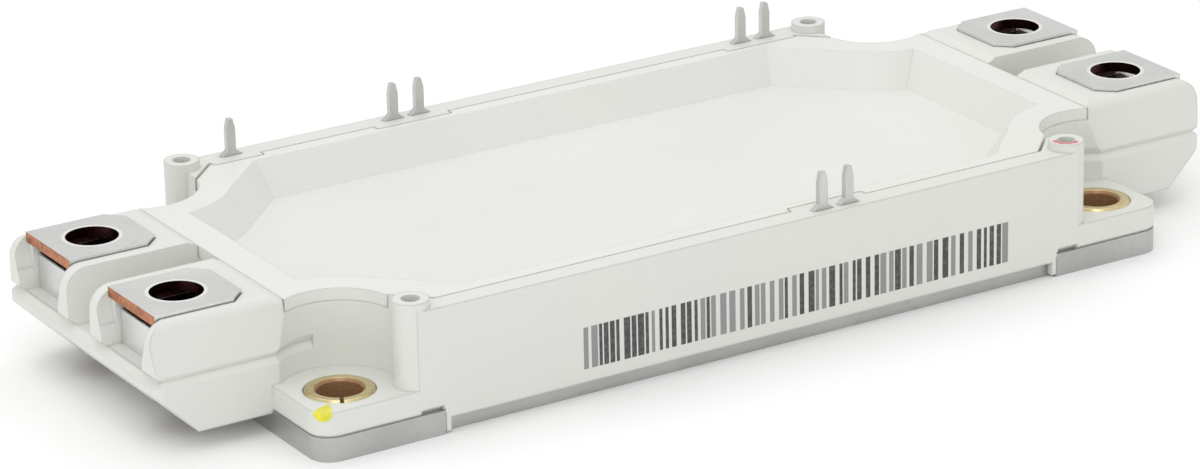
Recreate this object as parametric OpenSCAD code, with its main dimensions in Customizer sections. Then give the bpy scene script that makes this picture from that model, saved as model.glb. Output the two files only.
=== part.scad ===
// Half-bridge power semiconductor module.
// A moulded frame with four screw terminals stands on a flat metal base plate
// and is closed by a dished lid. Ceramic circuit tiles, chips, bond wires and
// busbars lie inside under a layer of gel.
// Millimetres, +Z up. Origin: centre of the base plate's underside.

/* [Base plate] */
// Length of the base plate
plate_l = 122; // [118:0.5:126]
// Width of the base plate across its mounting ears
plate_w = 62; // [60.5:0.5:66]
// Thickness of the base plate
plate_t = 3; // [2.6:0.1:4]
// Radius of the plate's outer corners
plate_corner_r = 2.8; // [1.5:0.1:4]
// How far each long edge steps back between the ears
plate_step = 1; // [0.6:0.1:1.4]
// Length of each ear, from the step to the plate's end
ear_l = 16.7; // [14.5:0.1:18]
// Height of the moulded ear above the plate
ear_h = 3.2; // [2.4:0.1:4.5]

/* [Mounting holes] */
// Distance of each hole from the plate's two nearest edges
mount_edge = 6; // [5.6:0.1:6.6]
// Diameter of the screw holes
mount_hole_d = 5.5; // [4.5:0.1:6]
// Outer diameter of the rolled bushes
bush_od = 8.6; // [8:0.1:9.4]
// Width of the slit in each bush
bush_slit = 0.45; // [0.3:0.05:0.8]
// Height of each bush above the ear
bush_proud = 0.2; // [0:0.1:0.5]

/* [Frame] */
// Length of the module over its terminal blocks
module_l = 152; // [150:0.5:156]
// Height of the frame's top rim
rim_z = 16; // [15.6:0.1:16.4]
// Height at which the long walls end above the heat sink
skirt_z = 2; // [1.2:0.1:2.4]
// Radius of the screwdriver recess round each mounting hole
recess_r = 7.3; // [6.6:0.1:7.8]
// Thickness of the wall between a recess and the lid
recess_wall = 1.2; // [1:0.1:1.5]
// Width of the rim along the long sides
rim_w = 2.9; // [2.6:0.1:3.2]
// Thickness of the long walls below the lid
wall_t = 4.4; // [4.2:0.1:4.8]
// Length of the lid
lid_l = 116.8; // [115:0.2:117.2]
// Width of the lid's ledge at each end
ledge_w = 2.4; // [1.8:0.1:3]
// Setback of the joint between the ears and the plate
joint_gap = 0.25; // [0.1:0.05:0.4]

/* [Board posts] */
// Distance along the module from each mounting hole to its post
post_in = 7.75; // [7.5:0.05:8.5]
// Radius of the posts
post_r = 2.25; // [2:0.05:2.4]
// Height of the posts' tops
post_z = 17; // [16.6:0.1:18]
// Diameter of the pilot holes for self-tapping screws
post_hole_d = 2.2; // [1.8:0.1:2.5]
// Depth of the pilot holes
post_hole_depth = 9; // [6:0.5:9.5]

/* [Terminal blocks] */
// Width of the pair of blocks at each end
block_w = 39.2; // [38:0.2:40.4]
// Height of the blocks' tops
block_z = 16.6; // [16.2:0.1:16.8]
// Height of the blocks' underside
block_under_z = 2.7; // [2.2:0.1:2.9]
// How far the lower end slopes back
block_slope = 5.2; // [3:0.1:6.5]
// How far each long side leans inwards over the block's height
block_draft = 1.2; // [0.4:0.1:1.8]
// Radius of the rounded top end
nose_r = 2.8; // [1.5:0.1:3.6]
// Radius of the rounded long top edges
shoulder_r = 1.5; // [0.6:0.1:2]
// Length of the ramp from the lid up to the blocks
ramp_l = 1.3; // [0.6:0.1:2]
// Height at which the lower end begins to slope back
slope_z = 7.9; // [7.2:0.1:8.4]
// Height of the lower lip of the V-shaped groove round the block
groove_z = 8.8; // [8.4:0.1:9]
// Height of the groove's mouth
groove_h = 1.7; // [1:0.1:1.8]
// Depth of the groove at the module's ends
groove_d = 1; // [0.6:0.1:1.4]
// Depth of the groove along the sides
groove_side_d = 0.6; // [0.3:0.1:0.8]
// Width of the slot between the two blocks of an end
valley_w = 6.2; // [5:0.2:7]
// Height of the slot's floor
valley_z = 9.6; // [9.2:0.1:11]

/* [Power terminals] */
// Distance of each screw from the module's end
term_edge = 7.5; // [7.2:0.1:7.8]
// Screw spacing across one end
term_sy = 22; // [21:0.2:22.4]
// Length of each contact plate
term_l = 12.4; // [11.6:0.1:12.8]
// Width of each contact plate
term_w = 11.8; // [11:0.1:12.2]
// Thickness of the busbar sheet
term_t = 1.3; // [1:0.1:1.5]
// Height of the contact faces
term_z = 17; // [16.8:0.1:17.4]
// Chamfer on the inner corners of a contact plate
term_chamfer = 2; // [1.2:0.1:2.6]
// Diameter of the screw holes in the contact plates
term_hole_d = 6.5; // [6:0.1:7]
// Width across flats of the square nuts
nut_w = 10; // [9.4:0.1:10]
// Height of the square nuts
nut_h = 4.4; // [4:0.1:4.8]
// Core diameter of the nuts' thread
nut_core_d = 5; // [4.4:0.1:5.2]
// Play above each nut
nut_play = 1.4; // [1:0.1:1.6]

/* [Lid] */
// Thickness of the lid
lid_t = 1.6; // [1.3:0.1:1.8]
// Distance of the sunk tray from the lid's ends
tray_rim_x = 4.4; // [4:0.1:6]
// Distance of the sunk tray from the lid's long sides
tray_rim_y = 2.3; // [2.2:0.1:4]
// Depth of the tray
tray_depth = 4.5; // [3:0.1:4.7]
// How far the tray's walls lean in from rim to floor
tray_lean = 2.7; // [1.5:0.1:3.5]
// Radius of the tray's corner scallops, about the mounting holes
tray_scallop_r = 11.2; // [10.8:0.1:13]
// Joint between lid and long walls
lid_gap = 0.15; // [0.1:0.05:0.3]
// Slit between the lid and each post's ledge
slit_w = 0.35; // [0.2:0.05:0.5]

/* [Control pins] */
// Distance of each pin row from the wall's outer face
pin_inset = 1.6; // [1.2:0.05:1.7]
// Place of the single pin, from the middle towards the DC end
pin_single_x = 40; // [38:0.1:41]
// Place of the rear pair next to it, from the middle towards the DC end
pin_rear_x = 14.6; // [12:0.1:18]
// Place of the rear pair at the output end, from the middle
pin_end_x = 38.7; // [36:0.1:39]
// Place of the front pair, from the middle towards the output end
pin_front_x = 11.8; // [8:0.1:16]
// Width of a pin
pin_w = 1.2; // [0.9:0.1:1.5]
// Thickness of a pin
pin_t = 0.8; // [0.6:0.1:0.9]
// Height of the pins' tips
pin_tip_z = 20.8; // [19:0.1:22]
// Spacing of the two pins of a pair
pin_pitch = 3.8; // [3.2:0.1:4.6]
// How far the rim swells inwards round the pins
pin_swell = 1; // [0.6:0.1:1.2]

/* [Circuit tiles] */
// Length of one ceramic tile along the module
tile_l = 31.5; // [30:0.5:32.5]
// Width of one ceramic tile across the module
tile_w = 38; // [37.6:0.1:38.4]
// Gap between two tiles
tile_gap = 1.5; // [1:0.1:2]
// Thickness of the ceramic
ceramic_t = 0.38; // [0.3:0.02:0.6]
// Thickness of each copper layer
copper_t = 0.3; // [0.2:0.05:0.4]
// Margin of bare ceramic round the copper
tile_margin = 0.6; // [0.4:0.1:1]
// Edge length of a transistor chip
igbt_w = 8.6; // [7.6:0.1:8.8]
// Edge length of a diode chip
diode_w = 6; // [5.4:0.1:6.4]
// Thickness of a chip with its solder
chip_t = 0.2; // [0.15:0.05:0.3]
// Diameter of the bond wires
wire_d = 0.4; // [0.3:0.05:0.5]
// Length of one wire loop
wire_span = 3.7; // [3.2:0.1:4]
// Height of the rails of the busbars over the base plate
rail_h = 3.8; // [3.6:0.1:4.2]

/* [Hidden] */
$fn = 64;
big = 400;
eps = 0.01;

// Heights
ear_z = plate_t + ear_h;
seat_z = rim_z - lid_t;
term_under_z = term_z - term_t;
nut_z = term_under_z - nut_play - nut_h;
well_z = block_under_z + 1.9;
tray_z = rim_z - tray_depth;
lean = tray_lean / tray_depth;
shell_t = lid_t - 0.1;
tub_z = tray_z - shell_t;
tile_z = plate_t;
ceramic_z = tile_z + copper_t;
track_z = ceramic_z + ceramic_t;
chip_z = track_z + copper_t;
chip_top_z = chip_z + chip_t;
rail_z = plate_t + rail_h;
shelf_h = 2;
pin_foot_t = pin_t;
shelf_z = plate_t + shelf_h;
gel_z = tub_z - 0.5;

// Places
end_x = module_l / 2;
mount_x = plate_l / 2 - mount_edge;
mount_y = plate_w / 2 - mount_edge;
post_x = mount_x - post_in;
post_y = plate_w / 2 - post_r;
term_x = end_x - term_edge;
term_y = term_sy / 2;
block_x = lid_l / 2;
block_l = end_x - block_x;
ear_x = plate_l / 2 - ear_l;
cavity_l = lid_l - 2 * ledge_w;
cavity_w = plate_w - 2 * wall_t;
lid_w = plate_w - 2 * rim_w;
pin_y = plate_w / 2 - pin_inset;
tile_pitch = tile_l + tile_gap;
rail_past = 3;
leg_w = term_w - 2 * term_chamfer;
bend_r = term_t + 0.1;
tiles = [-1, 0, 1];
tile_end_x = tile_pitch + tile_l / 2;

// Clearances
fit = 0.05;
plate_gap = 0.05;
nut_gap = 0.1;
term_gap = 0.2;
post_ledge = 2.9;

// Each terminal's leg stands against the inner side of its nut's pocket.
leg_out_x = term_x - nut_w / 2 - nut_gap - fit;
term_in_x = leg_out_x - term_t;
term_out_x = term_in_x + term_l;

// Control pins, as [distance along the module, row side]
pins = [
    [-pin_single_x, 1],
    [-pin_rear_x - pin_pitch / 2, 1],
    [-pin_rear_x + pin_pitch / 2, 1],
    [pin_end_x - pin_pitch / 2, 1],
    [pin_end_x + pin_pitch / 2, 1],
    [pin_front_x - pin_pitch / 2, -1],
    [pin_front_x + pin_pitch / 2, -1]
];
pin_shoulder_w = 2.4 * pin_w;
pin_foot_y = cavity_w / 2 - 5.2;
pin_wire_y = pin_foot_y + 0.3;
pin_land_y = tile_w / 2 - tile_margin - 0.5;
swell_l = pin_pitch + 7;

// Rows of one tile, from its +Y edge down to its -Y edge
chip_gap = 0.5;
strip_w = 1.2;
pad_w = 1.4;
track_split = 0.8;
copper_half_l = tile_l / 2 - tile_margin;
copper_half_w = tile_w / 2 - tile_margin;
column_x = copper_half_l / 2;
igbt_high_y = copper_half_w - 0.9 - igbt_w / 2;
diode_high_y = igbt_high_y - igbt_w / 2 - chip_gap - diode_w / 2;
high_track_y = diode_high_y - diode_w / 2 - 0.8;
strip_y = strip_w / 2 - copper_half_w;
low_track_y = strip_y + strip_w / 2 + 0.6;
igbt_low_y = low_track_y + 0.2 + igbt_w / 2;
diode_low_y = igbt_low_y + igbt_w / 2 + chip_gap + diode_w / 2;

// ---- Helpers ----------------------------------------------------------

// One child at each of the four corners, mirrored into place.
module at_corners() {
    children();
    mirror([1, 0, 0]) children();
    mirror([0, 1, 0]) children();
    mirror([1, 0, 0]) mirror([0, 1, 0]) children();
}

// One child at each end of the module, mirrored into place.
module at_ends() {
    children();
    mirror([1, 0, 0]) children();
}

// A box given by its two corners.
module box(low, high) {
    translate(low) cube(high - low);
}

// Rectangle with round corners, about the origin.
module round_rect(l, w, r) {
    square([l - 2 * r, w], center = true);
    square([l, w - 2 * r], center = true);
    for (x = [-1, 1], y = [-1, 1])
        translate([x * (l / 2 - r), y * (w / 2 - r)]) circle(r);
}

// Upright profile, drawn in X and Z, that runs along Y.
module along_y(w) {
    rotate([90, 0, 0]) linear_extrude(w, center = true) children();
}

// Upright profile, drawn in Y and Z, that runs along X from x = 0.
module along_x(l) {
    rotate([90, 0, 90]) linear_extrude(l) children();
}

// ---- Plan outlines ----------------------------------------------------

// What lies outside the body at the +X +Y corner: the recess and all beyond it.
module corner_cut(r, side_y) {
    translate([mount_x, mount_y]) circle(r);
    translate([mount_x - r, mount_y]) square(big);
    translate([mount_x, side_y]) square(big);
}

// Plan of the frame above its ears, drawn in by inset.
module body_plan(inset) {
    difference() {
        square([lid_l + 2 * eps, plate_w - 2 * inset], center = true);
        at_corners() corner_cut(recess_r + inset, block_w / 2 - inset);
    }
    at_corners() translate([post_x, post_y]) circle(post_r - inset);
}

// Plan of the hollow inside the frame.
module cavity_plan() {
    difference() {
        square([cavity_l, cavity_w], center = true);
        at_corners() {
            corner_cut(recess_r + recess_wall + 0.1, block_w / 2 - recess_wall);
            translate([post_x, post_y]) circle(post_r + 1);
        }
    }
}

// Plan of the lid's seat in the frame. It opens into the recesses.
module seat_plan() {
    difference() {
        square([lid_l, lid_w], center = true);
        at_corners() {
            post_ledge_plan(0);
            translate([mount_x, block_w / 2]) square(big);
        }
        swell_plan(0);
    }
}

// Plan of the lid, which ends flush with the recesses.
module lid_plan() {
    difference() {
        square([lid_l - 2 * fit, lid_w - 2 * lid_gap], center = true);
        at_corners() {
            post_ledge_plan(slit_w);
            corner_cut(recess_r, block_w / 2);
        }
        swell_plan(lid_gap);
    }
}

// Ledge behind the post, which ends on a 45-degree line, drawn out by gap.
module post_ledge_plan(gap) {
    translate([post_x, post_y]) rotate(45)
        translate([-post_ledge - gap, -5]) square([big, 13]);
}

// Where the rim swells inwards round the pins, drawn out by gap.
module swell_plan(gap) {
    for (spot = [[-pin_rear_x, 1], [pin_end_x, 1], [pin_front_x, -1], [-pin_single_x, 1]])
        translate([spot[0], spot[1] * lid_w / 2])
            round_rect(swell_l - (spot[0] == -pin_single_x ? pin_pitch : 0) + 2 * gap,
                       2 * (pin_swell + gap), 0.4);
}

// ---- Base plate -------------------------------------------------------

module plate_plan() {
    difference() {
        round_rect(plate_l, plate_w, plate_corner_r);
        for (s = [-1, 1])
            translate([0, s * plate_w / 2])
                square([2 * ear_x, 2 * plate_step], center = true);
        at_corners() translate([mount_x, mount_y]) circle(d = mount_hole_d);
    }
}

module base_plate() {
    color("silver") linear_extrude(plate_t) plate_plan();
}

// ---- Frame ------------------------------------------------------------

// Side view of the blocks of the +X end.
module block_side() {
    polygon([
        [block_x, plate_t],
        [plate_l / 2 + plate_gap, plate_t],
        [plate_l / 2 + plate_gap, block_under_z],
        [end_x - block_slope, block_under_z],
        [end_x, slope_z],
        [end_x, block_z - nose_r],
        [end_x - nose_r, block_z],
        [block_x + ramp_l, block_z],
        [block_x, rim_z]
    ]);
    translate([end_x - nose_r, block_z - nose_r]) circle(nose_r);
}

// End view of the pair of blocks, wider below than at the top.
module block_end() {
    low = block_w / 2;
    top = low - block_draft;
    shoulder_z = block_z - shoulder_r;
    polygon([
        [-low, block_under_z], [low, block_under_z], [low, groove_z],
        [top, shoulder_z], [top - shoulder_r, block_z],
        [shoulder_r - top, block_z], [-top, shoulder_z], [-low, groove_z]
    ]);
    for (s = [-1, 1]) translate([s * (top - shoulder_r), shoulder_z]) circle(shoulder_r);
}

module end_block() {
    intersection() {
        along_y(block_w) block_side();
        translate([block_x, 0, 0]) along_x(block_l) block_end();
        linear_extrude(big)
            translate([end_x - plate_l / 2, 0]) round_rect(plate_l, block_w, 1.2);
    }
}

// The moulding before anything is cut out of it.
module frame_outside() {
    joint_z = plate_t + joint_gap;
    translate([0, 0, joint_z]) linear_extrude(ear_h - joint_gap)
        round_rect(plate_l, plate_w, plate_corner_r);
    translate([0, 0, plate_t]) linear_extrude(joint_gap + eps)
        round_rect(plate_l - 2 * joint_gap, plate_w - 2 * joint_gap, plate_corner_r - joint_gap);
    translate([0, 0, joint_z]) linear_extrude(rim_z - joint_z) body_plan(0);
    at_ends() difference() {
        end_block();
        for (s = [-1, 1]) translate([mount_x, s * mount_y, ear_z]) cylinder(h = big, r = recess_r);
    }
    at_corners() {
        translate([post_x, post_y, joint_z]) cylinder(h = post_z - joint_z, r = post_r);
        frame_skirt();
    }
}

// A quarter of the skirt that hides the plate's edge between the ears.
module frame_skirt() {
    y_in = plate_w / 2 - plate_step + plate_gap;
    tab_l = 0.7;
    box([-eps, y_in, skirt_z], [ear_x - plate_gap, plate_w / 2, plate_t + eps]);
    box([ear_x - plate_gap - tab_l, y_in, 0.3],
        [ear_x - plate_gap, plate_w / 2, plate_t]);
}

// Notch over the plate at the inner end of each ear.
module joint_notch() {
    box([ear_x + 0.2, plate_w / 2 - 0.8, 0], [ear_x + 3.2, big, plate_t + 0.65]);
}

// Section of the V-shaped groove, with its apex at [0, 0] and its mouth towards +X.
module groove_section(depth) {
    half = groove_h / 2;
    polygon([[-depth, 0], [depth, -2 * half], [depth, 2 * half]]);
}

// The groove round both blocks of the +X end, and on into the recesses.
module block_groove() {
    translate([0, 0, groove_z + groove_h / 2]) {
        along_y(block_w + 2) translate([end_x, 0]) groove_section(groove_d);
        for (s = [-1, 1]) {
            translate([mount_x + 4, 0, 0]) along_x(big)
                translate([s * block_w / 2, 0]) scale([s, 1]) groove_section(groove_side_d);
            translate([mount_x, s * mount_y, 0]) mirror([0, s < 0 ? 1 : 0, 0])
                rotate([0, 0, -95]) rotate_extrude(angle = 60)
                    translate([recess_r, 0]) mirror([1, 0]) groove_section(groove_side_d);
        }
    }
}

// The slot between the two blocks of the +X end.
module block_valley() {
    translate([block_x, 0, 0]) along_x(big) polygon([
        [-valley_w / 2 + 0.4, valley_z], [valley_w / 2 - 0.4, valley_z],
        [valley_w / 2, block_z + eps], [-valley_w / 2, block_z + eps]
    ]);
}

// Seat of one power terminal: its nut, its screw, its plate and its mouth.
module terminal_seat() {
    half_nut = nut_w / 2 + nut_gap;
    half_plate = term_w / 2 + term_gap;
    mouth_x = term_x + half_nut + 0.4;
    translate([term_x, term_y, 0]) {
        box([-half_nut, -half_nut, nut_z], [big, half_nut, term_z]);
        translate([0, 0, well_z]) cylinder(h = nut_z - well_z + eps, d = 6.8);
    }
    translate([mouth_x, term_y, 0]) along_x(big) polygon([
        [half_plate - 1.2, nut_z + 0.5], [half_nut + 0.3, nut_z + 2.6],
        [half_plate - 0.5, nut_z + 2.6], [half_plate, term_under_z - 1], [half_plate, term_z],
        [-half_plate, term_z], [-half_plate, term_under_z - 1], [-half_plate + 0.5, nut_z + 2.6],
        [-half_nut - 0.3, nut_z + 2.6], [-half_plate + 1.2, nut_z + 0.5]
    ]);
    translate([0, term_y, term_under_z]) linear_extrude(big) contact_plan(term_gap, end_x);
    terminal_slot();
}

// Slot in the frame for the leg and the rail of one busbar.
module terminal_slot() {
    half = leg_w / 2 + fit;
    box([term_in_x - fit, term_y - half, rail_z - fit],
        [term_in_x + term_t + fit, term_y + half, term_z]);
    box([cavity_l / 2 - eps, term_y - half, rail_z - fit],
        [term_in_x + term_t + fit, term_y + half, rail_z + bend_r + fit]);
}

// Slot in the frame for one control pin.
module pin_slot(pin) {
    translate([pin[0], pin[1] * pin_y, 0]) {
        box([-pin_w / 2 - fit, -pin_t / 2 - fit, shelf_z], [pin_w / 2 + fit, pin_t / 2 + fit, big]);
        box([-pin_shoulder_w / 2 - fit, -pin_t / 2 - fit, rim_z - 1 - fit],
            [pin_shoulder_w / 2 + fit, pin_t / 2 + fit, big]);
    }
    reach = pin_y + pin_t / 2 + fit;
    translate([pin[0], 0, 0]) mirror([0, pin[1] < 0 ? 1 : 0, 0])
        box([-pin_w / 2 - fit, cavity_w / 2 - eps, shelf_z],
            [pin_w / 2 + fit, reach, shelf_z + pin_foot_t + fit]);
}

// Shelf along each long wall that carries the feet of the control pins.
module pin_shelves() {
    for (s = [-1, 1]) translate([0, s * (cavity_w / 2 + pin_foot_y - 0.4) / 2, plate_t])
        linear_extrude(shelf_h)
            square([2 * (post_x - 4), cavity_w / 2 - pin_foot_y + 0.4 + eps], center = true);
}

module housing_frame() {
    color("whitesmoke") difference() {
        union() {
            difference() {
                frame_outside();
                translate([0, 0, plate_t - eps]) linear_extrude(big) cavity_plan();
                translate([0, 0, seat_z]) linear_extrude(big) seat_plan();
            }
            pin_shelves();
        }
        at_ends() {
            block_groove();
            block_valley();
        }
        at_corners() {
            terminal_seat();
            joint_notch();
            translate([mount_x, mount_y, 0]) cylinder(h = ear_z + eps, d = bush_od + 2 * fit);
            translate([post_x, post_y, post_z - post_hole_depth])
                cylinder(h = big, d = post_hole_d);
        }
        for (pin = pins) pin_slot(pin);
    }
}

// ---- Lid --------------------------------------------------------------

// Half the tray's length, its width and its scallop's radius at a height.
function tray_half_l(z) = lid_l / 2 - tray_rim_x - lean * (rim_z - z);
function tray_half_w(z) = lid_w / 2 - tray_rim_y - lean * (rim_z - z);
function scallop_r(z) = tray_scallop_r + lean * (rim_z - z);

// The tray's form between two heights, made larger all round by grow.
module tub(grow, low_z, high_z) {
    difference() {
        intersection() {
            along_y(big) polygon([
                [-tray_half_l(low_z) - grow, low_z], [tray_half_l(low_z) + grow, low_z],
                [tray_half_l(high_z) + grow, high_z], [-tray_half_l(high_z) - grow, high_z]
            ]);
            translate([-big / 2, 0, 0]) along_x(big) polygon([
                [-tray_half_w(low_z) - grow, low_z], [tray_half_w(low_z) + grow, low_z],
                [tray_half_w(high_z) + grow, high_z], [-tray_half_w(high_z) - grow, high_z]
            ]);
        }
        at_corners() translate([mount_x, mount_y, 0]) scallop(grow, low_z - 1, high_z + 1);
    }
}

// What a mounting hole's scallop takes from the tub: a cone and a 45-degree flank.
module scallop(grow, low_z, high_z) {
    low_r = scallop_r(low_z) - grow;
    high_r = scallop_r(high_z) - grow;
    flank = 0.12;
    translate([0, 0, low_z]) cylinder(h = high_z - low_z, r1 = low_r, r2 = high_r, $fn = 96);
    rotate(225) rotate([90, 0, 0]) linear_extrude(mount_x)
        polygon([[-mount_x, low_z], [low_r - flank, low_z], [high_r - flank, high_z],
                 [-mount_x, high_z]]);
}

module lid() {
    color("white") difference() {
        union() {
            translate([0, 0, seat_z]) linear_extrude(lid_t) lid_plan();
            tub(shell_t, tub_z, rim_z);
        }
        tub(0, tray_z, rim_z + 1);
        translate([0, 0, seat_z]) linear_extrude(big) swell_plan(lid_gap);
    }
}

// ---- Fasteners --------------------------------------------------------

// Rolled bush with bevelled rims and a slit that faces the angle given.
module bush(angle) {
    h = ear_h + bush_proud;
    bevel = 0.35;
    inner = mount_hole_d / 2;
    outer = bush_od / 2;
    difference() {
        rotate_extrude() polygon([
            [inner, 0], [outer, 0], [outer, h - bevel], [outer - bevel, h],
            [inner + bevel, h], [inner, h - bevel]
        ]);
        rotate(angle) translate([0, -bush_slit / 2, -eps]) cube([bush_od, bush_slit, h + 1]);
    }
}

module mounting_bushes() {
    color("goldenrod")
        for (x = [-1, 1], y = [-1, 1])
            translate([x * mount_x, y * mount_y, plate_t]) bush(x < 0 ? -115 : 115);
}

module terminal_nuts() {
    color("lightgray")
        for (x = [-1, 1], y = [-1, 1]) translate([x * term_x, y * term_y, nut_z])
            difference() {
                linear_extrude(nut_h) round_rect(nut_w, nut_w, 0.4);
                translate([0, 0, -eps]) cylinder(h = nut_h + 2 * eps, d = nut_core_d);
            }
}

// ---- Power terminals --------------------------------------------------

// Plan of one contact plate about y = 0: square outside, chamfered inside.
module contact_plan(gap, out_x) {
    half = term_w / 2 + gap;
    in_x = term_in_x - min(gap, fit);
    c = term_chamfer;
    polygon([
        [in_x, -half + c], [in_x + c, -half], [out_x, -half],
        [out_x, half], [in_x + c, half], [in_x, half - c]
    ]);
}

// Side view of the bent strip: contact plate, leg and rail as far as rail_x.
module strip_side(rail_x) {
    leg_x = term_in_x;
    translate([leg_x, rail_z + bend_r])
        square([term_t, term_z - term_t / 2 - rail_z - bend_r]);
    translate([leg_x + term_t - bend_r, rail_z + bend_r]) quarter_bend(270);
    translate([rail_x, rail_z]) square([leg_x + term_t - bend_r - rail_x, term_t]);
}

// Quarter ring of the sheet's thickness that starts at the angle given.
module quarter_bend(start) {
    rotate(start) intersection() {
        difference() {
            circle(bend_r);
            circle(bend_r - term_t);
        }
        square(bend_r);
    }
}

// One terminal with its leg and rail, at y = 0, on the +X end.
module terminal_strip(rail_x) {
    along_y(leg_w) strip_side(rail_x);
    difference() {
        translate([0, 0, term_under_z]) linear_extrude(term_t) contact_plan(0, term_out_x);
        translate([term_x, 0, 0]) cylinder(h = big, d = term_hole_d);
    }
}

// Foot that drops from a rail to the track below it.
module rail_foot(x, y) {
    half = term_t / 2;
    box([x - 1.1, y - half, chip_z], [x + 1.1, y + half, rail_z + eps]);
}

module dc_plus_terminal() {
    color("silver") mirror([1, 0, 0]) {
        translate([0, term_y, 0]) terminal_strip(-tile_pitch - rail_past);
        for (i = tiles) rail_foot(i * tile_pitch, term_y);
    }
}

module dc_minus_terminal() {
    color("silver") mirror([1, 0, 0]) {
        translate([0, -term_y, 0]) terminal_strip(-tile_pitch - rail_past);
        for (i = tiles) {
            box([i * tile_pitch - 1.1, strip_y - term_t / 2, rail_z],
                [i * tile_pitch + 1.1, -term_y - leg_w / 2 + eps, rail_z + term_t]);
            rail_foot(i * tile_pitch, strip_y);
        }
    }
}

// The two contact plates of the +X end are one sheet, joined inside the frame.
module ac_terminal() {
    bridge_x = cavity_l / 2 - 4.5;
    half = term_y - leg_w / 2 - 2.2;
    color("silver") {
        for (s = [-1, 1]) translate([0, s * term_y, 0]) terminal_strip(bridge_x);
        box([bridge_x, -term_y - leg_w / 2, rail_z],
            [cavity_l / 2 - 1, term_y + leg_w / 2, rail_z + term_t]);
        box([-tile_pitch - rail_past, -half, rail_z], [bridge_x + eps, half, rail_z + term_t]);
        for (i = tiles) rail_foot(i * tile_pitch, -half + term_t);
    }
}

// ---- Control pins -----------------------------------------------------

// One pin: a foot on the shelf, a blade through the rim, a shoulder and a tip.
module control_pin(pin) {
    y_in = pin_foot_y;
    y_out = pin_y + pin_t / 2;
    tip = 1.3;
    color("lightgray") translate([pin[0], 0, 0]) mirror([0, pin[1] < 0 ? 1 : 0, 0]) {
        box([-pin_w / 2, y_in, shelf_z], [pin_w / 2, y_out, shelf_z + pin_foot_t]);
        translate([0, pin_y, 0]) along_y(pin_t) polygon([
            [-pin_w / 2, shelf_z], [pin_w / 2, shelf_z], [pin_w / 2, rim_z - 1],
            [pin_shoulder_w / 2, rim_z - 1], [pin_shoulder_w / 2, rim_z],
            [pin_w / 2, rim_z + 0.7], [pin_w / 2, pin_tip_z - tip],
            [pin_w / 4, pin_tip_z], [-pin_w / 4, pin_tip_z],
            [-pin_w / 2, pin_tip_z - tip], [-pin_w / 2, rim_z + 0.7],
            [-pin_shoulder_w / 2, rim_z], [-pin_shoulder_w / 2, rim_z - 1],
            [-pin_w / 2, rim_z - 1]
        ]);
    }
}

// ---- Circuit tiles ----------------------------------------------------

module at_tile(i) {
    translate([(i - 2) * tile_pitch, 0, 0]) children();
}

module tile_base_copper(i) {
    color("peru") at_tile(i) translate([0, 0, tile_z]) linear_extrude(copper_t)
        square([tile_l - 2 * tile_margin, tile_w - 2 * tile_margin], center = true);
}

module ceramic_tile(i) {
    color("ghostwhite") at_tile(i) translate([0, 0, ceramic_z]) linear_extrude(ceramic_t)
        square([tile_l, tile_w], center = true);
}

// Positive track, output track, negative strip and the two sensor pads.
module copper_tracks(i) {
    half = copper_half_l;
    pads_x = half - 2 * pad_w - track_split;
    color("peru") at_tile(i) {
        box([-half, high_track_y, track_z], [half, tile_w / 2 - tile_margin, chip_z]);
        box([-half, low_track_y, track_z], [half, high_track_y - track_split, chip_z]);
        box([-half, strip_y - strip_w / 2, track_z],
            [pads_x - track_split, strip_y + strip_w / 2, chip_z]);
        for (x = [pads_x, half - pad_w])
            box([x, strip_y - strip_w / 2, track_z], [x + pad_w, strip_y + strip_w / 2, chip_z]);
    }
}

// A pair of like chips, one in each column of the tile.
module chip_pair(y, w) {
    for (s = [-1, 1]) translate([s * column_x, y, chip_z])
        linear_extrude(chip_t) square(w, center = true);
}

module igbt_chips(i) {
    color("dimgray") at_tile(i) {
        chip_pair(igbt_high_y, igbt_w);
        chip_pair(igbt_low_y, igbt_w);
    }
}

module diode_chips(i) {
    color("gray") at_tile(i) {
        chip_pair(diode_high_y, diode_w);
        chip_pair(diode_low_y, diode_w);
    }
}

// One loop of wire across y, from its middle, that lands at two heights.
module wire_loop(x, y, span, low_z, high_z) {
    r = span / 2;
    translate([x, y, high_z]) rotate([90, 0, 90])
        rotate_extrude(angle = 180, $fn = 32) translate([r, 0]) circle(d = wire_d, $fn = 16);
    if (high_z > low_z + eps)
        translate([x, y - r, low_z]) cylinder(h = high_z - low_z, d = wire_d, $fn = 16);
}

// Four parallel loops over one chip column.
module wire_row(y, low_z) {
    for (s = [-1, 1], k = [-1.5:1:1.5])
        wire_loop(s * column_x + k * 1.3, y, wire_span, low_z, chip_top_z);
}

module bond_wires(i) {
    color("lightgray") at_tile(i) {
        wire_row((igbt_high_y - igbt_w / 2 + diode_high_y + diode_w / 2) / 2, chip_top_z);
        wire_row(high_track_y - track_split / 2, chip_z);
        wire_row((diode_low_y - diode_w / 2 + igbt_low_y + igbt_w / 2) / 2, chip_top_z);
        wire_row(strip_y + wire_span / 2, chip_z);
    }
}

// A loop from each control pin's foot down to the nearest track.
module pin_wires() {
    span = pin_wire_y - pin_land_y;
    color("lightgray") for (pin = pins)
        translate([pin[0], 0, 0]) mirror([0, pin[1] < 0 ? 1 : 0, 0])
            wire_loop(0, pin_land_y + span / 2, span, chip_z, shelf_z + pin_foot_t);
}

module thermistor() {
    x = copper_half_l - pad_w - track_split / 2 - pad_w / 2;
    color("black") at_tile(3)
        translate([x, strip_y, chip_z]) linear_extrude(0.8)
            square([2 * pad_w, strip_w], center = true);
}

// ---- Gel --------------------------------------------------------------

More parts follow.
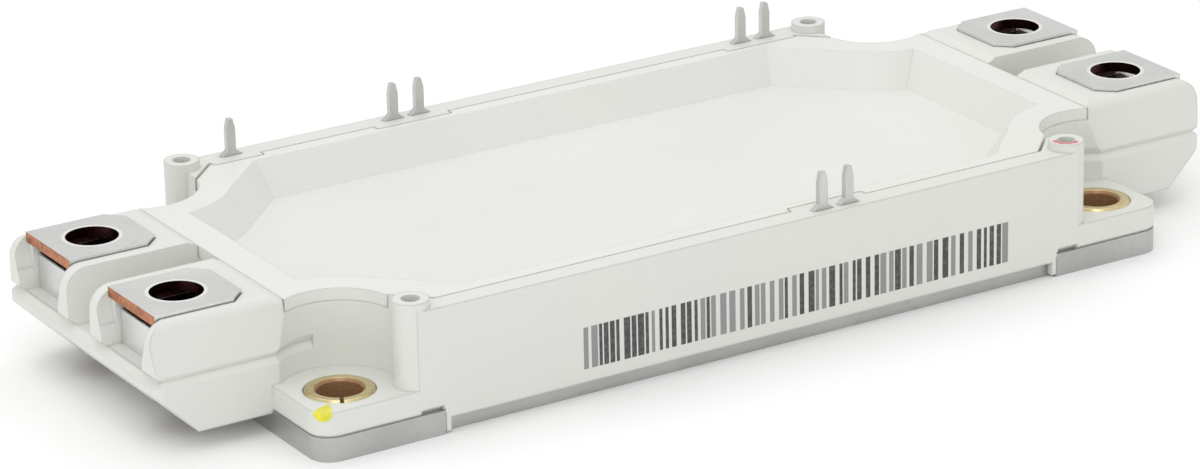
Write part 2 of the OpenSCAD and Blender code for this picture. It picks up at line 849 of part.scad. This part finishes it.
// Soft filling of the hollow, with clear room over the chips and wires.
module silicone_gel() {
    room_z = rail_z - 0.3;
    color("lightcyan") difference() {
        translate([0, 0, plate_t]) linear_extrude(gel_z - plate_t) cavity_plan();
        pin_shelves();
        box([-tile_end_x - 0.2, -tile_w / 2 - 0.2, 0], [tile_end_x + 0.2, tile_w / 2 + 0.2, room_z]);
        for (s = [-1, 1]) box(
            [-post_x, min(s * (tile_w / 2 - 2), s * cavity_w / 2) - eps, shelf_z],
            [post_x, max(s * (tile_w / 2 - 2), s * cavity_w / 2) + eps, shelf_z + wire_span]);
        dc_plus_terminal();
        dc_minus_terminal();
        ac_terminal();
    }
}

// ---- The nodes --------------------------------------------------------

base_plate();
housing_frame();
lid();
mounting_bushes();
terminal_nuts();
dc_plus_terminal();
dc_minus_terminal();
ac_terminal();
for (i = [1:len(pins)])
    control_pin(pins[i - 1]);
for (i = [1:3]) {
    tile_base_copper(i);
    ceramic_tile(i);
    copper_tracks(i);
    igbt_chips(i);
    diode_chips(i);
    bond_wires(i);
}
pin_wires();
thermistor();
silicone_gel();
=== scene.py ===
"""Looks for a flat power semiconductor module: finishes, small surface detail and a studio.

Every length is in metres unless a property says otherwise. The solid model is loaded as a fixed
frame; this script gives it materials, adds what is printed or moulded finely, and lights it.
"""

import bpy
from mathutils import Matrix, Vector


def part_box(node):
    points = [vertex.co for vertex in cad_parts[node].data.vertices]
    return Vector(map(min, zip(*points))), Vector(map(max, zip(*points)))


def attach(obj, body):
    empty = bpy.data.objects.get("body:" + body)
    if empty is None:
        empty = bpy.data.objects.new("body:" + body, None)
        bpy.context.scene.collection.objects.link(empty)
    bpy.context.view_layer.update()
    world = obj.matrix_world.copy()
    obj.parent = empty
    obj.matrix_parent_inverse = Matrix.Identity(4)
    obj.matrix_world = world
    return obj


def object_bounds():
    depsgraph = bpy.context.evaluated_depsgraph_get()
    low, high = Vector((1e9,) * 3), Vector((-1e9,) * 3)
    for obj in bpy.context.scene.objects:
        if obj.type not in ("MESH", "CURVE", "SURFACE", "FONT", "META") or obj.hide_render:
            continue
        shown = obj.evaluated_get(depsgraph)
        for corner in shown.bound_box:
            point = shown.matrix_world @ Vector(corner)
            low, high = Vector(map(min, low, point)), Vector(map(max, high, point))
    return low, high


bl_info = {
    "name": "Power Module Finish",
    "version": (1, 0, 0),
    "blender": (4, 5, 0),
    "location": "3D View > Sidebar > Module",
    "description": "Gives a power module its plastics, metals, print and studio",
    "category": "Object",
}

import math
import random

import bpy
from bpy.props import FloatProperty, FloatVectorProperty, IntProperty, PointerProperty
from mathutils import Matrix, Vector

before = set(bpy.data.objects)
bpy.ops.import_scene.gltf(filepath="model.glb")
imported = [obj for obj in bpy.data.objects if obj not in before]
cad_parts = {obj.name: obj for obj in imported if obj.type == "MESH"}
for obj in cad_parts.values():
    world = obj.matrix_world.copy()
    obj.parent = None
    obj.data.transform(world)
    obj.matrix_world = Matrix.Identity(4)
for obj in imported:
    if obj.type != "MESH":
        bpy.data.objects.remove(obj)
CAD_BOX = [list(corner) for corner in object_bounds()]
ROOT = "root"

# Lengths in metres that only follow the solid model
JOINT_END = 0.0443         # where the joint line at the long walls' foot ends beside the ears
STRIP_LIFT = 0.00001       # how far the strip stands proud of the wall
STRIP_DEPTH = 0.0002       # how far it reaches into the wall
SLIT_HEIGHT = 0.0014       # slit between a nut and its contact plate
WELL_RADIUS = 0.0035       # screw well below a nut
EAR_CORNER = 0.0028        # round corner of the ears
EAR_BELOW_BUSH = 0.0002    # ear's top below the bush's top
POST_RADIUS = 0.00225      # board posts
POST_SETBACK = 0.00775     # from a mounting hole to the post beside it, along X
PAINT_LIFT = 0.00004       # paint over the surface it lies on
BAR_LIFT = 0.00002         # ink over the wall
BAR_DEPTH = 0.00005        # ink into the wall
FLOOR_HALF = 6.0

# The aim point's shift to the camera's right and up
CAMERA_SHIFT = (-0.003335, 0.005294)
SENSOR_WIDTH = 36.0
WORLD_STRENGTH = 0.82
# Name, place, diameter and watts of each soft lamp, all aimed at the origin
LAMPS = (
    ("key_light", (-0.25, -0.35, 0.75), 0.55, 1.0),
    ("top_light", (0.10, 0.30, 0.80), 0.90, 1.4),
    ("side_light", (-0.80, 0.05, 0.35), 0.50, 0.45),
    ("fill_light", (-0.38, -0.55, 0.30), 0.30, 0.3),
)


# ---- Settings ---------------------------------------------------------


def colour(name, description, default):
    return FloatVectorProperty(name=name, description=description, subtype="COLOR", size=3,
                               min=0.0, max=1.0, default=default)


def length(name, description, default, low, high):
    return FloatProperty(name=name, description=description, subtype="DISTANCE", unit="LENGTH",
                         default=default, min=low, max=high, precision=5)


class MODULE_PG_settings(bpy.types.PropertyGroup):
    """Colours and sizes of the finish."""

    frame_colour: colour("Frame", "Moulded frame", (0.72, 0.73, 0.69))
    lid_colour: colour("Lid", "Moulded lid", (0.76, 0.765, 0.73))
    plate_colour: colour("Base plate", "Nickel on the base plate", (0.54, 0.54, 0.53))
    terminal_colour: colour("Terminals", "Nickel on the contact plates", (0.77, 0.77, 0.755))
    copper_colour: colour("Copper", "Bare copper at sheared edges and inside",
                          (0.52, 0.20, 0.085))
    bush_colour: colour("Bushes", "Yellow passivated zinc", (0.78, 0.65, 0.37))
    nut_colour: colour("Nuts", "Bright zinc", (0.84, 0.84, 0.83))
    bore_colour: colour("Bores", "Deep shade in the threads and bores", (0.085, 0.028, 0.030))
    pin_colour: colour("Pins", "Dull tin", (0.66, 0.66, 0.64))
    print_colour: colour("Print", "Dark print on the front wall", (0.055, 0.055, 0.055))
    pale_print_colour: colour("Pale print", "Thinner ink of some bars", (0.27, 0.27, 0.27))
    dab_colour: colour("Dab", "Yellow paint dab at one ear's corner", (0.86, 0.80, 0.05))
    post_dab_colour: colour("Post dab", "Red paint dab on one board post", (0.72, 0.16, 0.20))
    edge_radius: length("Edge radius", "Rounding of moulded edges in shading",
                        0.0004, 0.0, 0.001)
    bush_width: length("Bush width", "Outer diameter of the bushes", 0.0086, 0.008, 0.0094)
    bush_bore: length("Bush bore", "Inner radius of the bushes at their bevel",
                      0.0031, 0.002, 0.004)
    nut_width: length("Nut width", "Width of the nuts across their flats", 0.010, 0.009, 0.011)
    hole_radius: length("Hole radius", "Radius of the holes in the contact plates",
                        0.00325, 0.003, 0.0035)
    # Painted highlight: the hole rim is a near-white ring painted round each hole in the contact
    # plates.
    hole_highlight: length("Hole rim", "Width of the bright rim round those holes",
                     0.0004, 0.0, 0.001)
    strip_low: length("Strip bottom", "Lower edge of the strip over the wall's foot",
                      0.0027, 0.002, 0.003)
    strip_high: length("Strip top", "Upper edge of the strip over the wall's foot",
                       0.0035, 0.003, 0.0037)
    bars_start: length("Bars from", "Left end of the printed bars along X", -0.0253, -0.04, 0.0)
    bars_end: length("Bars to", "Right end of the printed bars along X", 0.0367, 0.0, 0.04)
    bars_low: length("Bars bottom", "Lower edge of the printed bars", 0.0037, 0.003, 0.008)
    bars_high: length("Bars top", "Upper edge of the printed bars", 0.0090, 0.008, 0.012)
    bars_count: IntProperty(name="Bars", description="Number of printed bars",
                            default=58, min=10, max=90)
    camera_azimuth: FloatProperty(name="Azimuth", description="Camera azimuth in degrees",
                                  default=-31.42, min=-180, max=180)
    camera_elevation: FloatProperty(name="Elevation", description="Camera elevation in degrees",
                                    default=20.75, min=-90, max=90)
    camera_roll: FloatProperty(name="Roll", description="Camera roll in degrees",
                               default=-1.27, min=-10, max=10)
    camera_distance: length("Distance", "Camera distance from the aim point", 0.6276, 0.2, 2.0)
    camera_lens: FloatProperty(name="Lens", description="Focal length in millimetres",
                               default=149.2, min=20, max=300)


def settings():
    return bpy.context.scene.module_finish


# ---- Node materials ---------------------------------------------------


class Tree:
    """A node material under construction."""

    def __init__(self, name):
        self.material = bpy.data.materials.new(name)
        self.material.use_nodes = True
        self.nodes = self.material.node_tree.nodes
        self.links = self.material.node_tree.links
        self.shader = self.nodes["Principled BSDF"]
        self.coords = self.nodes.new("ShaderNodeTexCoord")

    def add(self, kind, **fields):
        node = self.nodes.new(kind)
        for field, value in fields.items():
            setattr(node, field, value)
        return node

    def put(self, node, socket, value):
        """Sets an input, or links it when value is an output."""
        if isinstance(value, bpy.types.NodeSocket):
            self.links.new(value, node.inputs[socket])
        else:
            node.inputs[socket].default_value = value

    def stretch(self, scale):
        node = self.add("ShaderNodeMapping")
        self.put(node, "Vector", self.coords.outputs["Object"])
        self.put(node, "Scale", scale)
        return node.outputs["Vector"]

    def noise(self, scale, detail=4.0, roughness=0.55, vector=None):
        node = self.add("ShaderNodeTexNoise")
        self.put(node, "Vector", vector or self.coords.outputs["Object"])
        self.put(node, "Scale", scale)
        self.put(node, "Detail", detail)
        self.put(node, "Roughness", roughness)
        return node.outputs["Fac"]

    def ramp(self, value, low, high, from_value=0.0, to_value=1.0):
        node = self.add("ShaderNodeMapRange")
        self.put(node, "Value", value)
        self.put(node, "From Min", low)
        self.put(node, "From Max", high)
        self.put(node, "To Min", from_value)
        self.put(node, "To Max", to_value)
        return node.outputs["Result"]

    def maths(self, operation, first, second=0.5):
        node = self.add("ShaderNodeMath", operation=operation)
        self.put(node, 0, first)
        self.put(node, 1, second)
        return node.outputs["Value"]

    def mix(self, factor, first, second):
        node = self.add("ShaderNodeMix", data_type="RGBA")
        self.put(node, 0, factor)
        self.put(node, 6, first if isinstance(first, bpy.types.NodeSocket) else (*first, 1.0))
        self.put(node, 7, second if isinstance(second, bpy.types.NodeSocket) else (*second, 1.0))
        return node.outputs[2]

    def axis(self, output, which):
        node = self.add("ShaderNodeSeparateXYZ")
        self.put(node, 0, self.coords.outputs[output])
        return node.outputs[which]

    def from_bore(self, centre):
        """Distance from the nearest of four like bores, mirrored in X and Y."""
        squares = []
        for which, place in zip("XY", centre):
            mirrored = self.maths("ABSOLUTE", self.axis("Object", which))
            offset = self.maths("SUBTRACT", mirrored, place)
            squares.append(self.maths("MULTIPLY", offset, offset))
        return self.maths("SQRT", self.maths("ADD", *squares))

    def colour(self, value):
        self.put(self.shader, "Base Color", value)

    def base(self):
        """The output that gives the colour so far."""
        return self.shader.inputs["Base Color"].links[0].from_socket

    def rough(self, value):
        self.put(self.shader, "Roughness", value)

    def bump(self, height, strength, distance, normal=None):
        node = self.add("ShaderNodeBump")
        self.put(node, "Height", height)
        self.put(node, "Strength", strength)
        self.put(node, "Distance", distance)
        if normal is not None:
            self.put(node, "Normal", normal)
        self.put(self.shader, "Normal", node.outputs["Normal"])
        return node.outputs["Normal"]

    def soft_edges(self, radius):
        node = self.add("ShaderNodeBevel", samples=4)
        self.put(node, "Radius", radius)
        return node.outputs["Normal"]


def darker(rgb, factor):
    return tuple(c * factor for c in rgb)


def plastic_tree(name, rgb, radius):
    """Fine-grained moulded plastic, with faint flow clouds and handling marks."""
    tree = Tree(name)
    clouds = tree.noise(38.0, 3.0)
    specks = tree.noise(900.0, 2.0, 0.7)
    body = tree.mix(tree.ramp(clouds, 0.35, 0.70), darker(rgb, 0.965), rgb)
    speckled = tree.mix(tree.ramp(specks, 0.70, 0.80, 0.0, 0.25), body, darker(rgb, 0.82))
    warm = (rgb[0] * 0.96, rgb[1] * 0.94, rgb[2] * 0.86)
    tree.colour(tree.mix(tree.ramp(tree.noise(15.0, 2.0), 0.52, 0.75, 0.0, 0.35), speckled, warm))
    tree.rough(tree.ramp(tree.noise(120.0, 5.0), 0.3, 0.7, 0.34, 0.50))
    tree.put(tree.shader, "IOR", 1.5)
    grain = tree.noise(5200.0, 2.0, 0.6)
    tree.bump(grain, 0.22, 0.00004, tree.soft_edges(radius))
    return tree


def plastic(name, rgb, radius):
    return plastic_tree(name, rgb, radius).material


def metal(name, rgb, low, high, grain_scale, strength=0.2, stretch=(1.0, 1.0, 1.0), radius=0.0001,
          tarnish=None):
    """Plated metal with a drawn grain, colour clouds and small scratches."""
    tree = Tree(name)
    clouds = tree.noise(90.0, 4.0)
    body = tree.mix(tree.ramp(clouds, 0.3, 0.7), darker(rgb, 0.86), rgb)
    spots = tree.noise(420.0, 3.0, 0.65)
    body = tree.mix(tree.ramp(spots, 0.60, 0.78, 0.0, 0.5), body, tarnish or darker(rgb, 0.7))
    tree.colour(body)
    tree.put(tree.shader, "Metallic", 1.0)
    grain = tree.noise(grain_scale, 4.0, 0.6, tree.stretch(stretch))
    tree.rough(tree.ramp(grain, 0.3, 0.7, low, high))
    tree.bump(grain, strength, 0.00003, tree.soft_edges(radius))
    return tree


def dress(node, material):
    """Gives a solid of the frame its finish."""
    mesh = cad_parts[node].data
    if mesh.materials:
        for index in range(len(mesh.materials)):
            mesh.materials[index] = material
    else:
        mesh.materials.append(material)


def bore_centre(node, width):
    """Middle of the outermost of four like pieces of the given width."""
    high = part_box(node)[1]
    return (high[0] - width / 2, high[1] - width / 2)


def nodes_named(start):
    return [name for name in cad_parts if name.startswith(start)]


# ---- Mesh pieces ------------------------------------------------------


def mesh_piece(name, verts, faces, material):
    mesh = bpy.data.meshes.new(name)
    mesh.from_pydata([tuple(v) for v in verts], [], faces)
    mesh.update()
    mesh.materials.append(material)
    piece = bpy.data.objects.new(name, mesh)
    bpy.context.collection.objects.link(piece)
    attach(piece, ROOT)
    return piece


def add_box(verts, faces, low, high):
    first = len(verts)
    for z in (low[2], high[2]):
        verts += [(low[0], low[1], z), (high[0], low[1], z),
                  (high[0], high[1], z), (low[0], high[1], z)]
    for face in ((3, 2, 1, 0), (4, 5, 6, 7), (0, 1, 5, 4),
                 (1, 2, 6, 5), (2, 3, 7, 6), (3, 0, 4, 7)):
        faces.append(tuple(first + i for i in face))


# ---- Operators --------------------------------------------------------


class MODULE_OT_plastics(bpy.types.Operator):
    """Finish the moulded frame and lid, and cover the joint line at the long walls' foot"""

    bl_idname = "module.plastics"
    bl_label = "Finish Plastics"

    def execute(self, context):
        s = settings()
        frame_tree = plastic_tree("frame_plastic", tuple(s.frame_colour), s.edge_radius)
        self.shade_pockets(frame_tree, s)
        dress("housing_frame", frame_tree.material)
        dress("lid", plastic("lid_plastic", tuple(s.lid_colour), s.edge_radius))
        strip = plastic("strip_plastic", tuple(s.frame_colour), 0.0)
        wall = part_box("housing_frame")[1][1]
        for side, name in ((-1, "front_foot_strip"), (1, "rear_foot_strip")):
            verts, faces = [], []
            y = sorted((side * (wall + STRIP_LIFT), side * (wall - STRIP_DEPTH)))
            add_box(verts, faces, (-JOINT_END, y[0], s.strip_low), (JOINT_END, y[1], s.strip_high))
            mesh_piece(name, verts, faces, strip)
        return {"FINISHED"}

    def shade_pockets(self, tree, s):
        """Darkens the slit between each nut and its contact plate, and the screw well below."""
        plain = tree.base()
        centre = bore_centre("terminal_nuts", s.nut_width)
        radius = tree.from_bore(centre)
        height = tree.axis("Object", "Z")
        nut_low, nut_high = (corner[2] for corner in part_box("terminal_nuts"))
        slit = tree.maths("GREATER_THAN", height, nut_high)
        slit = tree.maths("MULTIPLY", slit, tree.maths("LESS_THAN", radius, 0.65 * s.nut_width))
        slit = tree.maths("MULTIPLY", slit, tree.maths("LESS_THAN", height, nut_high + SLIT_HEIGHT))
        well = tree.maths("LESS_THAN", height, nut_low - 0.0001)
        well = tree.maths("MULTIPLY", well, tree.maths("LESS_THAN", radius, WELL_RADIUS))
        tree.colour(tree.mix(tree.maths("MAXIMUM", slit, well), plain, tuple(s.bore_colour)))


class MODULE_OT_base(bpy.types.Operator):
    """Finish the nickel-plated base plate"""

    bl_idname = "module.base"
    bl_label = "Finish Base Plate"

    def execute(self, context):
        rgb = tuple(settings().plate_colour)
        tree = metal("plate_nickel", rgb, 0.34, 0.52, 700.0, 0.35, (1.0, 1.0, 5.0), 0.00015)
        dress("base_plate", tree.material)
        return {"FINISHED"}


class MODULE_OT_terminals(bpy.types.Operator):
    """Finish the power terminals, with bare copper at their sheared outer edges"""

    bl_idname = "module.terminals"
    bl_label = "Finish Terminals"

    def execute(self, context):
        s = settings()
        tree = metal("terminal_nickel", tuple(s.terminal_colour), 0.22, 0.38, 1500.0, 0.15,
                     (1.0, 7.0, 1.0), 0.00012)
        plated = tree.base()
        copper = tuple(s.copper_colour)
        burr = tree.mix(tree.ramp(tree.noise(1400.0, 4.0), 0.4, 0.65), copper, darker(copper, 0.6))
        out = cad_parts["ac_terminal"].data
        reach = max(v.co.x for v in out.vertices) - 0.00005
        beyond = tree.maths("GREATER_THAN", tree.maths("ABSOLUTE", tree.axis("Object", "X")), reach)
        upright = tree.maths("LESS_THAN", tree.maths("ABSOLUTE", tree.axis("Normal", "Z")), 0.5)
        mask = tree.maths("MULTIPLY", beyond, upright)
        radius = tree.from_bore(bore_centre("terminal_nuts", s.nut_width))
        # Painted highlight: a near-white ring round each hole. Painted shade: the holes' upright
        # walls take the deep shade colour.
        rim = tree.ramp(radius, s.hole_radius + s.hole_highlight, s.hole_radius + 1.2 * s.hole_highlight,
                        0.9, 0.0)
        inside = tree.maths("LESS_THAN", radius, 1.01 * s.hole_radius)
        bore = tree.maths("MULTIPLY", inside, upright)
        plated = tree.mix(rim, plated, (0.95, 0.95, 0.94))
        plated = tree.mix(bore, plated, tuple(s.bore_colour))
        tree.colour(tree.mix(mask, plated, burr))
        for node in nodes_named("dc_") + ["ac_terminal"]:
            dress(node, tree.material)
        return {"FINISHED"}


class MODULE_OT_fasteners(bpy.types.Operator):
    """Finish the bushes, nuts and control pins"""

    bl_idname = "module.fasteners"
    bl_label = "Finish Fasteners and Pins"

    def execute(self, context):
        s = settings()
        bush = metal("bush_zinc", tuple(s.bush_colour), 0.20, 0.40, 900.0, 0.2, (1.0, 1.0, 4.0),
                     0.0002, tarnish=(0.30, 0.22, 0.13))
        self.shade_bore(bush, bore_centre("mounting_bushes", s.bush_width), s.bush_bore,
                        (0.36, 0.20, 0.10))
        dress("mounting_bushes", bush.material)
        nut = metal("nut_zinc", tuple(s.nut_colour), 0.35, 0.55, 1200.0, 0.25, (1.0, 1.0, 1.0),
                    0.0003)
        self.shade_bore(nut, bore_centre("terminal_nuts", s.nut_width), s.hole_radius,
                        tuple(s.bore_colour))
        self.shade_top(nut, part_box("terminal_nuts")[1], tuple(s.bore_colour))
        dress("terminal_nuts", nut.material)
        pin = metal("pin_tin", tuple(s.pin_colour), 0.30, 0.50, 1600.0, 0.2, (1.0, 1.0, 0.2),
                    0.00012)
        for node in nodes_named("control_pin_"):
            dress(node, pin.material)
        return {"FINISHED"}

    def shade_top(self, tree, high, deep):
        """Darkens the top faces that lie in the slit under the contact plates."""
        plain = tree.base()
        level = tree.maths("GREATER_THAN", tree.axis("Normal", "Z"), 0.7)
        outward = tree.maths("ABSOLUTE", tree.axis("Object", "X"))
        inner = tree.maths("LESS_THAN", outward, high[0] - 0.0003)
        tree.colour(tree.mix(tree.maths("MULTIPLY", level, inner), plain, deep))

    def shade_bore(self, tree, centre, radius, deep):
        """Darkens a bore and what lies just round it."""
        plain = tree.base()
        inside = tree.ramp(tree.from_bore(centre), 0.97 * radius, radius, 1.0, 0.0)
        tree.colour(tree.mix(inside, plain, deep))
        tree.put(tree.shader, "Metallic", tree.ramp(inside, 0.0, 1.0, 1.0, 0.25))


class MODULE_OT_inner(bpy.types.Operator):
    """Finish the circuit tiles, chips, wires and gel inside"""

    bl_idname = "module.inner"
    bl_label = "Finish Inner Pieces"

    def execute(self, context):
        copper = tuple(settings().copper_colour)
        tracks = metal("track_copper", copper, 0.30, 0.50, 1500.0, 0.2)
        for node in nodes_named("tile_base_copper_") + nodes_named("copper_tracks_"):
            dress(node, tracks.material)
        ceramic = plastic("tile_ceramic", (0.82, 0.82, 0.79), 0.00005)
        for node in nodes_named("ceramic_tile_"):
            dress(node, ceramic)
        chip = metal("chip_metal", (0.30, 0.31, 0.34), 0.15, 0.30, 2500.0, 0.1)
        for node in nodes_named("igbt_chips_") + nodes_named("diode_chips_"):
            dress(node, chip.material)
        wire = metal("wire_aluminium", (0.75, 0.75, 0.76), 0.20, 0.35, 3000.0, 0.1)
        for node in nodes_named("bond_wires_") + ["pin_wires"]:
            dress(node, wire.material)
        dress("thermistor", plastic("sensor_glaze", (0.03, 0.03, 0.035), 0.0001))
        gel = Tree("soft_gel")
        clouds = gel.ramp(gel.noise(60.0), 0.3, 0.7)
        gel.colour(gel.mix(clouds, (0.80, 0.86, 0.86), (0.88, 0.91, 0.90)))
        gel.rough(gel.ramp(gel.noise(200.0), 0.3, 0.7, 0.08, 0.16))
        gel.put(gel.shader, "IOR", 1.41)
        gel.put(gel.shader, "Transmission Weight", 0.9)
        gel.bump(gel.noise(300.0), 0.1, 0.0001)
        dress("silicone_gel", gel.material)
        return {"FINISHED"}


class MODULE_OT_print(bpy.types.Operator):
    """Print a row of plain bars on the front wall and dab paint on one ear and one post"""

    bl_idname = "module.print"
    bl_label = "Add Print"

    def execute(self, context):
        s = settings()
        front = CAD_BOX[0][1]
        rule = random.Random(7)
        bars = {"wall_bars": ([], []), "pale_bars": ([], [])}
        widths = [(rule.choice((2, 3, 3, 4)), rule.choice((1, 2, 2, 3)))
                  for _ in range(s.bars_count)]
        unit = (s.bars_end - s.bars_start) / (sum(map(sum, widths)) - widths[-1][1])
        x = s.bars_start
        for bar, gap in widths:
            verts, faces = bars["pale_bars" if rule.random() < 0.3 else "wall_bars"]
            add_box(verts, faces, (x, front - BAR_LIFT, s.bars_low),
                    (x + bar * unit, front + BAR_DEPTH, s.bars_high))
            x += (bar + gap) * unit
        for name, rgb in (("wall_bars", s.print_colour), ("pale_bars", s.pale_print_colour)):
            mesh_piece(name, *bars[name], self.ink(name + "_ink", tuple(rgb)))
        self.ear_dab(self.paint("dab_paint", tuple(s.dab_colour)))
        self.post_dab(self.paint("post_dab_paint", tuple(s.post_dab_colour)))
        return {"FINISHED"}

    def ink(self, name, rgb):
        tree = Tree(name)
        faded = tuple(0.75 * c + 0.08 for c in rgb)
        tree.colour(tree.mix(tree.ramp(tree.noise(1800.0, 4.0), 0.45, 0.70), rgb, faded))
        tree.rough(tree.ramp(tree.noise(800.0), 0.3, 0.7, 0.45, 0.65))
        tree.bump(tree.noise(4000.0), 0.2, 0.00002)
        return tree.material

    def paint(self, name, rgb):
        tree = Tree(name)
        tree.colour(tree.mix(tree.ramp(tree.noise(900.0), 0.35, 0.65), rgb, darker(rgb, 0.8)))
        tree.rough(tree.ramp(tree.noise(700.0), 0.3, 0.7, 0.30, 0.45))
        tree.bump(tree.noise(1500.0), 0.3, 0.00003)
        return tree.material

    def ear_dab(self, material):
        """Paint brushed outwards over the ear's round corner."""
        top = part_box("mounting_bushes")[1][2] - EAR_BELOW_BUSH
        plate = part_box("base_plate")[1]
        middle = Vector((-plate[0] + EAR_CORNER, -plate[1] + EAR_CORNER))
        rule = random.Random(3)
        columns = 12
        verts, faces = [], []
        for i in range(columns + 1):
            share = i / columns * 2 - 1
            angle = math.radians(225 + 24 * share)
            along = Vector((math.cos(angle), math.sin(angle)))
            ragged = rule.uniform(-0.00010, 0.00010)
            start = 0.0003 + 0.0005 * share * share + ragged
            for reach in (start, 0.5 * (start + EAR_CORNER), EAR_CORNER - 0.0001):
                spot = middle + along * reach
                verts.append((spot.x, spot.y, top + PAINT_LIFT))
            drip = 0.0011 * (1 - 0.6 * share * share) + 0.5 * ragged
            for drop in (0.0, 0.5 * drip, drip):
                spot = middle + along * (EAR_CORNER + PAINT_LIFT)
                verts.append((spot.x, spot.y, top - 0.00005 - drop))
        rows = 6
        for i in range(columns):
            for j in range(rows - 1):
                a = i * rows + j
                faces.append((a, a + 1, a + rows + 1, a + rows))
        mesh_piece("paint_dab", verts, faces, material)

    def post_dab(self, material):
        """A small brushed spot on top of the front post at the output end."""
        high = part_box("housing_frame")[1]
        hole_x = bore_centre("mounting_bushes", settings().bush_width)[0]
        centre = Vector((hole_x - POST_SETBACK, -high[1] + POST_RADIUS))
        rule = random.Random(5)
        steps = 24
        verts, faces = [], []
        for k in range(steps):
            angle = math.pi * (0.85 + 0.85 * k / (steps - 1))
            for r in (0.00118, 0.0017 + rule.uniform(-0.00015, 0.00015)):
                verts.append((centre.x + r * math.cos(angle), centre.y + r * math.sin(angle),
                              high[2] + 0.00001))
        for k in range(steps - 1):
            faces.append((2 * k, 2 * k + 1, 2 * k + 3, 2 * k + 2))
        mesh_piece("post_dab", verts, faces, material)


class MODULE_OT_studio(bpy.types.Operator):
    """Build the pale floor, the soft lights and the camera"""

    bl_idname = "module.studio"
    bl_label = "Build Studio"

    def execute(self, context):
        self.floor()
        for lamp in LAMPS:
            self.light(*lamp)
        world = bpy.data.worlds.new("studio_air")
        world.use_nodes = True
        background = world.node_tree.nodes["Background"]
        background.inputs["Color"].default_value = (1.0, 1.0, 1.0, 1.0)
        background.inputs["Strength"].default_value = WORLD_STRENGTH
        context.scene.world = world
        context.scene.view_settings.view_transform = "Standard"
        self.camera(context)
        return {"FINISHED"}

    def floor(self):
        tree = Tree("floor_paper")
        clouds = tree.ramp(tree.noise(3.0), 0.3, 0.7)
        tree.colour(tree.mix(clouds, (0.93, 0.93, 0.925), (0.95, 0.95, 0.95)))
        tree.rough(tree.ramp(tree.noise(40.0), 0.3, 0.7, 0.85, 0.95))
        tree.bump(tree.noise(1500.0), 0.05, 0.00002)
        mesh = bpy.data.meshes.new("floor")
        corners = [(x * FLOOR_HALF, y * FLOOR_HALF, 0)
                   for x, y in ((-1, -1), (1, -1), (1, 1), (-1, 1))]
        mesh.from_pydata(corners, [], [(0, 1, 2, 3)])
        mesh.materials.append(tree.material)
        floor = bpy.data.objects.new("floor", mesh)
        bpy.context.collection.objects.link(floor)

    def light(self, name, place, size, watts):
        data = bpy.data.lights.new(name, "AREA")
        data.shape = "DISK"
        data.size = size
        data.energy = watts
        lamp = bpy.data.objects.new(name, data)
        lamp.location = place
        lamp.rotation_euler = (-Vector(place)).to_track_quat("-Z", "Y").to_euler()
        bpy.context.collection.objects.link(lamp)

    def camera(self, context):
        s = settings()
        azimuth, elevation = math.radians(s.camera_azimuth), math.radians(s.camera_elevation)
        roll = math.radians(s.camera_roll)
        back = Vector((math.sin(azimuth) * math.cos(elevation),
                       -math.cos(azimuth) * math.cos(elevation), math.sin(elevation)))
        level = Vector((math.cos(azimuth), math.sin(azimuth), 0))
        upward = back.cross(level)
        right = math.cos(roll) * level + math.sin(roll) * upward
        up = -math.sin(roll) * level + math.cos(roll) * upward
        place = back * s.camera_distance + right * CAMERA_SHIFT[0] + up * CAMERA_SHIFT[1]
        data = bpy.data.cameras.new("camera")
        data.sensor_width = SENSOR_WIDTH
        data.lens = s.camera_lens
        camera = bpy.data.objects.new("camera", data)
        camera.matrix_world = Matrix((
            (right.x, up.x, back.x, place.x), (right.y, up.y, back.y, place.y),
            (right.z, up.z, back.z, place.z), (0, 0, 0, 1)))
        bpy.context.collection.objects.link(camera)
        context.scene.camera = camera


class MODULE_PT_panel(bpy.types.Panel):
    """Sidebar panel with the module's settings and steps"""

    bl_label = "Power Module"
    bl_idname = "MODULE_PT_panel"
    bl_space_type = "VIEW_3D"
    bl_region_type = "UI"
    bl_category = "Module"

    def draw(self, context):
        for name in MODULE_PG_settings.__annotations__:
            self.layout.prop(settings(), name)
        for step in STEPS:
            self.layout.operator(step.bl_idname)


STEPS = (MODULE_OT_plastics, MODULE_OT_base, MODULE_OT_terminals, MODULE_OT_fasteners,
         MODULE_OT_inner, MODULE_OT_print, MODULE_OT_studio)
CLASSES = (MODULE_PG_settings, *STEPS, MODULE_PT_panel)


def register():
    for cls in CLASSES:
        bpy.utils.register_class(cls)
    bpy.types.Scene.module_finish = PointerProperty(type=MODULE_PG_settings)


def unregister():
    del bpy.types.Scene.module_finish
    for cls in reversed(CLASSES):
        bpy.utils.unregister_class(cls)


def main():
    register()
    bpy.ops.module.plastics()
    bpy.ops.module.base()
    bpy.ops.module.terminals()
    bpy.ops.module.fasteners()
    bpy.ops.module.inner()
    bpy.ops.module.print()
    bpy.ops.module.studio()


if __name__ == "__main__":
    main()
